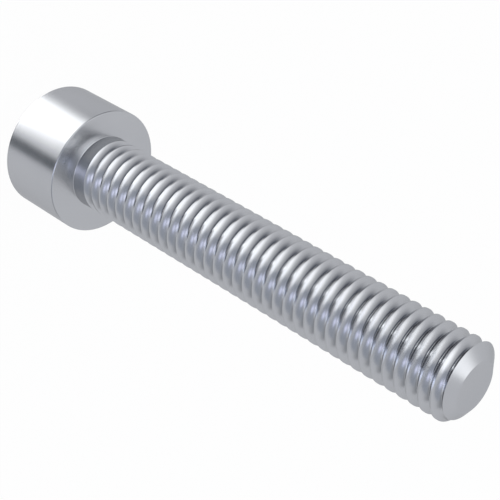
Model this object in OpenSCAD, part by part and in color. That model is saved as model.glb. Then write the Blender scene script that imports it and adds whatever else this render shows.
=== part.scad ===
// Socket head cap screw, threaded almost up to its head, standing on its head.
// The origin is the centre of the head's top face and the shank points up +Z.
// Lengths are in millimetres and angles in degrees.

/* [Head] */
// Diameter of the head
head_d = 8.4; // [7.5:0.1:10]
// Height of the head
head_h = 5; // [4.5:0.1:7]
// Width of the 45 degree bevel round the head's top edge
top_bevel = 0.3; // [0.1:0.05:0.5]
// Width of the 45 degree bevel round the rim of the bearing face
rim_bevel = 0.05; // [0.05:0.05:0.3]

/* [Hexagon socket] */
// Key size, measured across the flats
socket_af = 4; // [3:0.5:4.5]
// Depth of the socket's six flat walls
socket_depth = 2.5; // [1.5:0.1:2.8]
// Point angle of the cone at the socket's bottom
bottom_angle = 120; // [110:5:150]
// Width of the bevel at the corners of the socket's mouth
mouth_bevel = 0.15; // [0.05:0.05:0.4]
// Included angle of the mouth's bevel
mouth_angle = 120; // [90:5:140]

/* [Shank] */
// Length from the bearing face to the tip
shank_l = 30; // [12:1:40]
// Length of the plain neck, from the bearing face to the start of the groove
neck_l = 0.55; // [0.4:0.05:3]
// Height of the neck's wall over the thread's crests
neck_step = 0.02; // [0.02:0.01:0.1]
// Radius of the fillet between the bearing face and the neck
neck_fillet = 0.05; // [0.05:0.05:0.35]
// Diameter of the flat end of the tip
tip_d = 3.1; // [2.8:0.1:3.8]
// Angle between the tip's bevel and its flat end
tip_angle = 32; // [25:1:50]

/* [Thread] */
// Diameter over the thread's crests
crest_d = 4.88; // [4.6:0.02:5.2]
// Pitch: the distance from one crest to the next
pitch = 0.8; // [0.6:0.05:1]
// Direction, seen from the tip, in which the groove starts
start_angle = 90; // [0:15:345]
// Turns over which the groove grows to its full depth
run_in = 0.25; // [0.25:0.25:1]
// Straight facets in one turn of the thread
turn_facets = 28; // [16:2:28]

/* [Hidden] */
$fn = 96;

// Places along the axis
bearing_z = head_h;
groove_z = bearing_z + neck_l;
tip_z = bearing_z + shank_l;
neck_d = crest_d + 2 * neck_step;

// How far the cutting shapes of the socket reach past the head's top face
overcut = 1;

// The 60 degree thread: its flanks would meet in a sharp triangle, which is cut off
// by an eighth at the crests and by a quarter at the roots
sharp_h = pitch * cos(30);
groove_depth = sharp_h * 5 / 8;
root_flat = pitch / 4;
flank_run = groove_depth * tan(30);

// One turn's groove: [height within the turn, depth under the crests] at its four
// corners. The rest of the pitch, up to the next turn's first corner, is the crest.
groove = [
    [0, 0],
    [flank_run, groove_depth],
    [flank_run + root_flat, groove_depth],
    [2 * flank_run + root_flat, 0],
];
corners = len(groove);

// The sweep starts with turns that have no groove, buried in the neck, and it ends
// past the tip, where it is cut off
plain_turns = 1.25;
sweep_z = groove_z - plain_turns * pitch;
sweep_turns = ceil((tip_z - sweep_z) / pitch) + 1;
last_step = sweep_turns * turn_facets;

// Share of the full depth that the groove has at a step of the sweep
function cut_share(step) = min(1, max(0, (step / turn_facets - plain_turns) / run_in));

// A corner of the groove at a step, turned right-handed and lifted along the axis
function thread_point(step, corner) =
    let (turned = step / turn_facets)
    let (angle = start_angle + 360 * (turned - plain_turns))
    let (r = crest_d / 2 - groove[corner][1] * cut_share(step))
    [r * cos(angle), r * sin(angle), sweep_z + pitch * turned + groove[corner][0]];

function at(step, corner) = step * corners + corner;

// The facet between two corners over one step, as two triangles. The second corner
// may be that of a later turn, which is next_turn steps further on.
function facet(step, low, high, next_turn = 0) = [
    [at(step, low), at(step + next_turn, high), at(step + 1, low)],
    [at(step + 1, low), at(step + next_turn, high), at(step + 1 + next_turn, high)],
];

// The threaded rod: one closed surface that winds up the axis. Both of its ends are
// a spiral fan round a point on the axis and a step that shows one whole pitch.
module threaded_rod() {
    top_corner = corners - 1;
    low_centre = at(last_step + 1, 0);
    high_centre = low_centre + 1;
    high_start = last_step - turn_facets;
    points = concat(
        [for (step = [0:last_step]) for (corner = [0:top_corner]) thread_point(step, corner)],
        [[0, 0, sweep_z], [0, 0, sweep_z + pitch * (sweep_turns + 1)]]
    );
    flanks_and_roots = [
        for (step = [0:last_step - 1])
            for (corner = [0:top_corner - 1])
                each facet(step, corner, corner + 1)
    ];
    crests = [
        for (step = [0:high_start - 1])
            each facet(step, top_corner, 0, turn_facets)
    ];
    low_fan = [
        for (step = [0:turn_facets - 1])
            [low_centre, at(step, 0), at(step + 1, 0)]
    ];
    low_step = concat(
        [low_centre, at(turn_facets, 0)],
        [for (corner = [top_corner:-1:0]) at(0, corner)]
    );
    high_fan = [
        for (step = [high_start:last_step - 1])
            [high_centre, at(step + 1, top_corner), at(step, top_corner)]
    ];
    high_step = concat(
        [high_centre, at(high_start, top_corner)],
        [for (corner = [0:top_corner]) at(last_step, corner)]
    );
    polyhedron(
        points = points,
        faces = concat(flanks_and_roots, crests, low_fan, [low_step], high_fan, [high_step])
    );
}

// Everything that the bevelled, flat-ended tip leaves of the threaded rod
module tip_envelope() {
    bevel_l = (neck_d - tip_d) / 2 * tan(tip_angle);
    rotate_extrude()
        polygon([
            [0, 0],
            [neck_d / 2, 0],
            [neck_d / 2, tip_z - bevel_l],
            [tip_d / 2, tip_z],
            [0, tip_z],
        ]);
}

// Half the section of the head, the fillet and the neck, turned about the axis
module turned_blank() {
    rotate_extrude()
        difference() {
            union() {
                polygon([
                    [0, 0],
                    [head_d / 2 - top_bevel, 0],
                    [head_d / 2, top_bevel],
                    [head_d / 2, bearing_z - rim_bevel],
                    [head_d / 2 - rim_bevel, bearing_z],
                    [0, bearing_z],
                ]);
                square([neck_d / 2, groove_z]);
                square([neck_d / 2 + neck_fillet, bearing_z + neck_fillet]);
            }
            translate([neck_d / 2 + neck_fillet, bearing_z + neck_fillet])
                circle(neck_fillet);
        }
}

// The space of the socket: a hexagonal prism, its conical bottom and its mouth's bevel
module hexagon_socket() {
    corner_r = socket_af / 2 / cos(30);
    mouth_r = corner_r + mouth_bevel;
    mouth_slope = tan(mouth_angle / 2);
    translate([0, 0, -overcut])
        cylinder(h = socket_depth + overcut, r = corner_r, $fn = 6);
    translate([0, 0, socket_depth])
        cylinder(h = socket_af / 2 / tan(bottom_angle / 2), d1 = socket_af, d2 = 0);
    translate([0, 0, -overcut])
        cylinder(h = overcut + mouth_r / mouth_slope, r1 = mouth_r + overcut * mouth_slope, r2 = 0);
}

module cap_screw() {
    color("silver")
        difference() {
            union() {
                turned_blank();
                intersection() {
                    threaded_rod();
                    tip_envelope();
                }
            }
            hexagon_socket();
        }
}

cap_screw();
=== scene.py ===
import math

import bmesh
import bpy
from mathutils import Matrix, Vector


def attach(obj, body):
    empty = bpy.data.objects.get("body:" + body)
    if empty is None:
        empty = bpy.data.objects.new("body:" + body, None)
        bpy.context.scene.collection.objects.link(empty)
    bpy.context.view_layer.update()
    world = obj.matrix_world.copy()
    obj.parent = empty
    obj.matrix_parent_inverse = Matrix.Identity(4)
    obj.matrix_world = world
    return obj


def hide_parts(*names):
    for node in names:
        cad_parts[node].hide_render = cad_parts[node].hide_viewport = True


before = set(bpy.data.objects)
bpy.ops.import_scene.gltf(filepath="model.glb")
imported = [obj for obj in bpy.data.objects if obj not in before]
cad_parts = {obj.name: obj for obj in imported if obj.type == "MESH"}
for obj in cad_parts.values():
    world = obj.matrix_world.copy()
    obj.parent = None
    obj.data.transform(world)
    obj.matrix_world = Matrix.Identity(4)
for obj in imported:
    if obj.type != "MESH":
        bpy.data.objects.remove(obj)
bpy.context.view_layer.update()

# The blank: head and shank are one piece of steel, cold-forged from wire, and the head is
# turned round its side and under it. Half the section, from the shank to the socket's
# mouth, is spun round the axis. Sizes are in millimetres until the whole mesh is done.
FACES_ROUND = 72
WELD = 0.001
HEAD_R = 4.2
HEAD_H = 5.0
TOP_BEVEL = 0.3
RIM_BEVEL = 0.05
TURNED_CORNER = 0.015
CORNER_SEGMENTS = 2
MOUTH_R = 2.459
SHANK_R = 2.44
NECK_L = 0.55
NECK_FILLET = 0.05
FILLET_SEGMENTS = 4


def chain(bm, points):
    """Vertices at the points, joined by edges into one open line."""
    line = [bm.verts.new(point) for point in points]
    for start, end in zip(line, line[1:]):
        bm.edges.new((start, end))
    return line


def round_corners(bm, corners, reach, segments):
    """Turns corners of a line into small arcs that start that far from each corner."""
    bmesh.ops.bevel(bm, geom=corners, offset=reach, offset_type="OFFSET", segments=segments,
                    profile=0.5, affect="VERTICES", material=-1)


screw_bm = bmesh.new()
section = chain(screw_bm, [
    (SHANK_R, 0, HEAD_H + NECK_L),
    (SHANK_R, 0, HEAD_H),
    (HEAD_R - RIM_BEVEL, 0, HEAD_H),
    (HEAD_R, 0, HEAD_H - RIM_BEVEL),
    (HEAD_R, 0, TOP_BEVEL),
    (HEAD_R - TOP_BEVEL, 0, 0),
    (MOUTH_R, 0, 0),
])
neck_foot = section[1:2]
head_corners = section[2:6]
round_corners(screw_bm, neck_foot, NECK_FILLET, FILLET_SEGMENTS)
round_corners(screw_bm, head_corners, TURNED_CORNER, CORNER_SEGMENTS)
bmesh.ops.spin(screw_bm, geom=screw_bm.verts[:] + screw_bm.edges[:], axis=(0, 0, 1),
               cent=(0, 0, 0), angle=math.tau, steps=FACES_ROUND, use_merge=True)

# The hexagon socket is pressed into the head's top: a bevelled mouth, six flat walls and a
# shallow cone at the bottom. It is drawn inwards from the mouth, ring by ring. The mouth's
# bevel and the cone both lean 60 degrees away from the axis.
SOCKET_FLATS = 4.0
SOCKET_DEPTH = 2.5
SOCKET_SLOPE = math.tan(math.radians(60))
CONE_INSET = 0.02
CONE_R = SOCKET_FLATS / 2 - CONE_INSET
SIXTH_TURN = math.radians(60)


def next_ring(bm, edges, new_place):
    """Extrudes a ring of edges and moves each new vertex to new_place(angle, position)."""
    made = bmesh.ops.extrude_edge_only(bm, edges=edges)["geom"]
    for v in made:
        if isinstance(v, bmesh.types.BMVert):
            v.co = new_place(math.atan2(v.co.y, v.co.x), v.co)
    return [e for e in made if isinstance(e, bmesh.types.BMEdge)]


def mouth_edge(angle, co):
    """Where the mouth's bevel ends in the hexagon's wall, at that angle."""
    wall_r = SOCKET_FLATS / 2 / math.cos(angle % SIXTH_TURN - SIXTH_TURN / 2)
    return wall_r * math.cos(angle), wall_r * math.sin(angle), (MOUTH_R - wall_r) / SOCKET_SLOPE


def wall_foot(angle, co):
    """The foot of the hexagon's wall, straight under the mouth's bevel."""
    return co.x, co.y, SOCKET_DEPTH


def cone_edge(angle, co):
    """The round edge of the cone at the bottom."""
    return CONE_R * math.cos(angle), CONE_R * math.sin(angle), SOCKET_DEPTH


def cone_point(angle, co):
    """The cone's point, where the last ring closes."""
    return 0, 0, SOCKET_DEPTH + CONE_R / SOCKET_SLOPE


ring = [e for e in screw_bm.edges if e.is_boundary and e.verts[0].co.z < WELD]
for new_place in (mouth_edge, wall_foot, cone_edge, cone_point):
    ring = next_ring(screw_bm, ring, new_place)

# The thread is rolled into the shank between two flat dies, right-handed, and runs in
# over a quarter turn behind the neck. Here too it is made flat and then rolled up: one
# turn of its profile is drawn out along a slope, repeated, and wound round the axis.
PITCH = 0.8
FLANK_ANGLE = math.radians(30)
RUN_IN_TURNS = 0.25
PLAIN_TURNS = 1.25
START_ANGLE = math.radians(90)
START_Z = HEAD_H + NECK_L
SHANK_L = 30.0
TIP_Z = HEAD_H + SHANK_L

groove_depth = PITCH * math.cos(FLANK_ANGLE) * 5 / 8
root_flat = PITCH / 4
flank_run = groove_depth * math.tan(FLANK_ANGLE)
half_crest = (PITCH - root_flat - 2 * flank_run) / 2

# In the flat strip x is the angle round the screw, y the radius and z the height.
thread = bmesh.new()
chain(thread, [
    (0, SHANK_R, -half_crest),
    (0, SHANK_R, 0),
    (0, SHANK_R - groove_depth, flank_run),
    (0, SHANK_R - groove_depth, flank_run + root_flat),
    (0, SHANK_R, 2 * flank_run + root_flat),
    (0, SHANK_R, PITCH - half_crest),
])
bmesh.ops.spin(thread, geom=thread.verts[:] + thread.edges[:], axis=(0, 0, 1), cent=(0, 0, 0),
               angle=0, dvec=(math.tau / FACES_ROUND, 0, PITCH / FACES_ROUND), steps=FACES_ROUND)
one_turn = thread.verts[:] + thread.edges[:] + thread.faces[:]
last_turn = math.ceil(PLAIN_TURNS + (TIP_Z - START_Z) / PITCH)
for turn in range(1, last_turn + 1):
    repeat = bmesh.ops.duplicate(thread, geom=one_turn)["geom"]
    bmesh.ops.translate(thread, verts=[v for v in repeat if isinstance(v, bmesh.types.BMVert)],
                        vec=(turn * math.tau, 0, turn * PITCH))

# The strip's first turns stay plain and are pressed against the neck's end. Then the
# groove deepens over the run-in.
for v in thread.verts:
    cut_share = min(1, max(0, (v.co.x / math.tau - PLAIN_TURNS) / RUN_IN_TURNS))
    v.co.y = SHANK_R - (SHANK_R - v.co.y) * cut_share
    v.co.z = max(v.co.z + START_Z - PLAIN_TURNS * PITCH, START_Z)

# The tip's bevel: a cut along its slope, and what stands beyond is pressed down onto it.
# Then the strip is wound round the axis.
TIP_R = 1.55
TIP_SLOPE = math.radians(32)

tip_corner = Vector((0, TIP_R, TIP_Z))
bevel_normal = Vector((0, math.sin(TIP_SLOPE), math.cos(TIP_SLOPE)))
bmesh.ops.bisect_plane(thread, geom=thread.verts[:] + thread.edges[:] + thread.faces[:],
                       dist=WELD, plane_co=tip_corner, plane_no=bevel_normal)
for v in thread.verts:
    if (v.co - tip_corner).dot(bevel_normal) > WELD:
        v.co.z = min(v.co.z, TIP_Z)
        v.co.y = TIP_R + (TIP_Z - v.co.z) / math.tan(TIP_SLOPE)
for v in thread.verts:
    angle = START_ANGLE + v.co.x - PLAIN_TURNS * math.tau
    v.co = (v.co.y * math.cos(angle), v.co.y * math.sin(angle), v.co.z)

# Thread and blank are welded into one mesh, and the flat end of the tip closes it.
screw_mesh = bpy.data.meshes.new("screw")
thread.to_mesh(screw_mesh)
screw_bm.from_mesh(screw_mesh)
bmesh.ops.remove_doubles(screw_bm, verts=screw_bm.verts[:], dist=WELD)
tip_edge = [e for e in screw_bm.edges if e.is_boundary]
bmesh.ops.edgeloop_fill(screw_bm, edges=tip_edge)
bmesh.ops.recalc_face_normals(screw_bm, faces=screw_bm.faces[:])
for face in screw_bm.faces:
    face.smooth = True

# Edges are sharp where the surface turns by more than 32 degrees. The roots of a rolled
# thread are round instead, so their edges stay soft and the shading flows round them.
# The head, the neck and the tip's flat end are noted, to shade evenly up to their edges.
SHARP_ANGLE = math.radians(32)
METRES_PER_MM = 0.001

root_r = SHANK_R - groove_depth + WELD
for edge in screw_bm.edges:
    in_root = all(v.co.xy.length < root_r and START_Z < v.co.z < TIP_Z for v in edge.verts)
    edge.smooth = in_root or edge.calc_face_angle(0) < SHARP_ANGLE
screw_bm.verts.index_update()
turned_verts = [v.index for v in screw_bm.verts if v.co.z < START_Z or v.co.z > TIP_Z - WELD]
bmesh.ops.scale(screw_bm, vec=(METRES_PER_MM,) * 3, verts=screw_bm.verts[:])
screw_bm.to_mesh(screw_mesh)

# The finish: bright zinc over steel. The plating's colour and gloss vary a little in soft
# clouds, and fine turning marks run round the axis, also on the head's flat faces. From
# here on lengths are in metres. AXIS_GUARD keeps a division by zero off the axis.
MARK_WIDTH = 0.00012
MARK_DEPTH = 0.00003
MARK_ROUGHNESS = 0.05
CLOUDS_PER_METRE = 450.0
CLOUD_ROUGHNESS = 0.03
LEAST_ROUGHNESS = 0.2
ZINC_DARK = (0.585, 0.594, 0.61, 1)
ZINC_LIGHT = (0.625, 0.632, 0.645, 1)
EDGE_ON_TINT = (0.75, 0.75, 0.75, 1)
AXIS_GUARD = 0.0001


class Wire:
    """A socket of a node tree. Arithmetic on wires and numbers adds Math nodes."""

    def __init__(self, tree, socket=None):
        self.tree = tree
        self.socket = socket

    def node(self, kind, settings=None, sockets=None, out=0):
        """Adds a node, sets it, feeds its sockets and returns the wire of one output."""
        made = self.tree.nodes.new(kind)
        for name, value in (settings or {}).items():
            setattr(made, name, value)
        for name, value in (sockets or {}).items():
            if isinstance(value, Wire):
                self.tree.links.new(value.socket, made.inputs[name])
            else:
                made.inputs[name].default_value = value
        return Wire(self.tree, made.outputs[out] if made.outputs else None)

    def maths(self, operation, first, second=0.0):
        """One Math node on wires or numbers."""
        return self.node("ShaderNodeMath", {"operation": operation}, {0: first, 1: second})

    def mix(self, share, first, second):
        """A blend of two colours, from the first at share 0 to the second at share 1."""
        return self.node("ShaderNodeMix", {"data_type": "RGBA"}, {0: share, 6: first, 7: second}, 2)

    def __add__(self, other):
        return self.maths("ADD", self, other)

    __radd__ = __add__

    def __sub__(self, other):
        return self.maths("SUBTRACT", self, other)

    def __rsub__(self, other):
        return self.maths("SUBTRACT", other, self)

    def __mul__(self, other):
        return self.maths("MULTIPLY", self, other)

    __rmul__ = __mul__

    def __truediv__(self, other):
        return self.maths("DIVIDE", self, other)

    def __pow__(self, other):
        return self.maths("POWER", self, other)


steel = bpy.data.materials.new("bright_plated_steel")
steel.use_nodes = True
steel.node_tree.nodes.clear()
metal = Wire(steel.node_tree)
point = metal.node("ShaderNodeTexCoord", out="Object")
x = metal.node("ShaderNodeSeparateXYZ", {}, {0: point}, "X")
y = metal.node("ShaderNodeSeparateXYZ", {}, {0: point}, "Y")
z = metal.node("ShaderNodeSeparateXYZ", {}, {0: point}, "Z")
radius = (x * x + y * y) ** 0.5
round_the_axis = metal.node("ShaderNodeCombineXYZ", {}, {
    "X": x / (radius + AXIS_GUARD),
    "Y": y / (radius + AXIS_GUARD),
    "Z": (radius + z) / MARK_WIDTH})
marks = metal.node("ShaderNodeTexNoise", {}, {
    "Vector": round_the_axis, "Scale": 1.0, "Detail": 2.0})
cloud = metal.node("ShaderNodeTexNoise", {}, {
    "Vector": point, "Scale": CLOUDS_PER_METRE, "Detail": 3.0})
bump = metal.node("ShaderNodeBump", {}, {
    "Height": marks, "Strength": 0.05, "Distance": MARK_DEPTH})
surface = metal.node("ShaderNodeBsdfPrincipled", {}, {
    "Base Color": metal.mix(cloud, ZINC_DARK, ZINC_LIGHT),
    "Metallic": 1.0,
    "Specular Tint": EDGE_ON_TINT,
    "Roughness": LEAST_ROUGHNESS + MARK_ROUGHNESS * marks + CLOUD_ROUGHNESS * cloud,
    "Normal": bump})
metal.node("ShaderNodeOutputMaterial", {}, {"Surface": surface})
screw_mesh.materials.append(steel)

screw = bpy.data.objects.new("screw", screw_mesh)
bpy.context.scene.collection.objects.link(screw)
screw.vertex_groups.new(name="turned_faces").add(turned_verts, 1.0, "REPLACE")
shading = screw.modifiers.new("flat_faces_shade_flat", "WEIGHTED_NORMAL")
shading.keep_sharp = True
shading.vertex_group = "turned_faces"
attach(screw, "root")
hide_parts("cap_screw")

# The floor: a plain white table top that the screw stands on. The metal's reflections and
# a camera below the table see past it, to the studio.
FLOOR_HALF = 2.0
FLOOR_GAP = 0.00002
SELF_LIT_SHARE = 0.97
TABLE_WHITE = (0.9, 0.9, 0.9, 1)
FULL_WHITE = (1, 1, 1, 1)

floor_bm = bmesh.new()
bmesh.ops.create_grid(floor_bm, x_segments=1, y_segments=1, size=FLOOR_HALF)
bmesh.ops.translate(floor_bm, verts=floor_bm.verts[:], vec=(0, 0, -FLOOR_GAP))
floor_mesh = bpy.data.meshes.new("floor")
floor_bm.to_mesh(floor_mesh)
floor = bpy.data.objects.new("floor", floor_mesh)
bpy.context.scene.collection.objects.link(floor)
white = bpy.data.materials.new("white_table")
white.use_nodes = True
white.node_tree.nodes.clear()
table = Wire(white.node_tree)
seen = table.node("ShaderNodeLightPath", out="Is Camera Ray")
mirrored = table.node("ShaderNodeLightPath", out="Is Glossy Ray")
behind = table.node("ShaderNodeNewGeometry", out="Backfacing")
matt = table.node("ShaderNodeBsdfDiffuse", {}, {"Color": TABLE_WHITE})
lit = table.node("ShaderNodeEmission", {}, {"Color": FULL_WHITE, "Strength": 1.0})
paint = table.node("ShaderNodeMixShader", {}, {0: seen * SELF_LIT_SHARE, 1: matt, 2: lit})
clear = table.node("ShaderNodeBsdfTransparent")
table_top = table.node("ShaderNodeMixShader", {}, {
    0: table.maths("MAXIMUM", behind, mirrored), 1: paint, 2: clear})
table.node("ShaderNodeOutputMaterial", {}, {"Surface": table_top})
floor_mesh.materials.append(white)
floor.visible_shadow = False

# The light: a pale grey studio all round, with soft lamps and dark screens in it, which
# give the metal its bright and dark bands. Each is laid over what is behind it. Azimuth 0
# is the camera's side, -Y, and 90 is +X; elevation 90 is straight up. Angles are in
# degrees. The camera itself sees plain white all round.
STUDIO_GREY = (0.68, 0.69, 0.72, 1)

world = bpy.data.worlds.new("studio")
world.use_nodes = True
world.node_tree.nodes.clear()
bpy.context.scene.world = world
studio = Wire(world.node_tree)
look = studio.node("ShaderNodeTexCoord", out="Generated")
east = studio.node("ShaderNodeSeparateXYZ", {}, {0: look}, "X")
north = studio.node("ShaderNodeSeparateXYZ", {}, {0: look}, "Y")
rise = studio.node("ShaderNodeSeparateXYZ", {}, {0: look}, "Z")
azimuth = studio.maths("ARCTAN2", east, -1 * north)
elevation = studio.maths("ARCSINE", rise)


def beyond(angle, edge, softness):
    """0 to 1 as an angle passes an edge, over that softness."""
    return studio.node("ShaderNodeMapRange", {"interpolation_type": "SMOOTHSTEP"}, {
        "Value": angle,
        "From Min": math.radians(edge - softness / 2),
        "From Max": math.radians(edge + softness / 2)})


def panel(azimuths, elevations, side_softness, softness):
    """A panel between two azimuths and two elevations, with soft sides, top and bottom."""
    left, right = azimuths
    low, high = elevations
    sides = beyond(azimuth, left, side_softness) * (1 - beyond(azimuth, right, side_softness))
    return sides * beyond(elevation, low, softness) * (1 - beyond(elevation, high, softness))


def lamp(at_azimuth, at_elevation, radius, softness):
    """A round lamp with a soft edge."""
    a, e = math.radians(at_azimuth), math.radians(at_elevation)
    towards = (math.sin(a) * math.cos(e), -math.cos(a) * math.cos(e), math.sin(e))
    aligned = studio.node("ShaderNodeVectorMath", {"operation": "DOT_PRODUCT"}, {
        0: look, 1: towards}, "Value")
    return 1 - beyond(studio.maths("ARCCOSINE", aligned), radius, softness)


# Dark screens, mirrored as the dark sides of the grooves and as the dark stretches of the
# crests and of the head's side.
dark_band = panel((-106, 36), (-31, 24), side_softness=49, softness=34)
sky = studio.mix(dark_band, STUDIO_GREY, (0.07, 0.08, 0.11, 1))
dark_right = panel((62, 116), (-22, 25), side_softness=5, softness=32)
sky = studio.mix(dark_right, sky, (0.32, 0.33, 0.35, 1))
dark_high_right = panel((-7, 93), (21, 66), side_softness=5, softness=29)
sky = studio.mix(dark_high_right, sky, (0.38, 0.41, 0.47, 1))
dark_left = panel((-83, -46), (-42, -5), side_softness=11, softness=7)
sky = studio.mix(dark_left, sky, (0.12, 0.12, 0.14, 1))
low_dark_right = panel((24, 45), (-53, -24), side_softness=6, softness=14)
sky = studio.mix(low_dark_right, sky, (0.02, 0.03, 0.04, 1))

# Lamps below the camera: the first is mirrored in the roots, the others in the crests and
# the head's side.
low_lamp = panel((-71, 5), (-65, -51), side_softness=43, softness=13)
sky = studio.mix(low_lamp, sky, (6.91, 6.95, 6.96, 1))
low_glow = panel((-63, -13), (-42, -37), side_softness=9, softness=29)
sky = studio.mix(low_glow, sky, (3.05, 3.10, 3.14, 1))
strip_lamp = panel((-23, -15), (-38, -23), side_softness=4, softness=19)
sky = studio.mix(strip_lamp, sky, (2.72, 2.79, 2.89, 1))

# Lamps overhead, mirrored in the flanks that face the tip and in the tip's bevel.
high_lamp = panel((-117, -23), (52, 92), side_softness=49, softness=25)
sky = studio.mix(high_lamp, sky, (1.76, 1.78, 1.82, 1))
top_lamp = panel((-71, -1), (64, 79), side_softness=25, softness=7)
sky = studio.mix(top_lamp, sky, (1.78, 1.84, 1.94, 1))

# Small bluish lamps on the right: the first two put glints into the grooves, and the
# third one is mirrored in the neck by way of the bearing face.
right_lamp = lamp(31, 20, radius=10, softness=12)
sky = studio.mix(right_lamp, sky, (1.49, 1.54, 1.90, 1))
low_right_lamp = lamp(40, -18, radius=12, softness=4)
sky = studio.mix(low_right_lamp, sky, (1.31, 1.43, 1.79, 1))
right_high_lamp = lamp(40, 44, radius=8, softness=12)
sky = studio.mix(right_high_lamp, sky, (1.30, 1.35, 1.75, 1))

to_camera = studio.node("ShaderNodeLightPath", out="Is Camera Ray")
sky = studio.mix(to_camera, sky, FULL_WHITE)
light = studio.node("ShaderNodeBackground", {}, {"Color": sky, "Strength": 1.0})
studio.node("ShaderNodeOutputWorld", {}, {"Surface": light})

# The camera looks down from in front and is turned on its side, so that the screw lies
# across the picture from its head at the top left to its tip at the bottom right.
CAMERA_PLACE = (0, -0.06160, 0.06214)
CAMERA_AZIMUTH = math.radians(0.333)
CAMERA_ELEVATION = math.radians(35.430)
CAMERA_ROLL = math.radians(119.974)

camera = bpy.data.objects.new("camera", bpy.data.cameras.new("camera"))
bpy.context.scene.collection.objects.link(camera)
camera.data.lens = 91.99
camera.data.sensor_width = 36
camera.data.clip_start = 0.001
swung = Matrix.Rotation(CAMERA_AZIMUTH, 4, "Z")
tilted = Matrix.Rotation(math.pi / 2 - CAMERA_ELEVATION, 4, "X")
rolled = Matrix.Rotation(CAMERA_ROLL, 4, "Z")
camera.matrix_world = Matrix.Translation(CAMERA_PLACE) @ swung @ tilted @ rolled
bpy.context.scene.camera = camera
bpy.context.scene.view_settings.view_transform = "Standard"
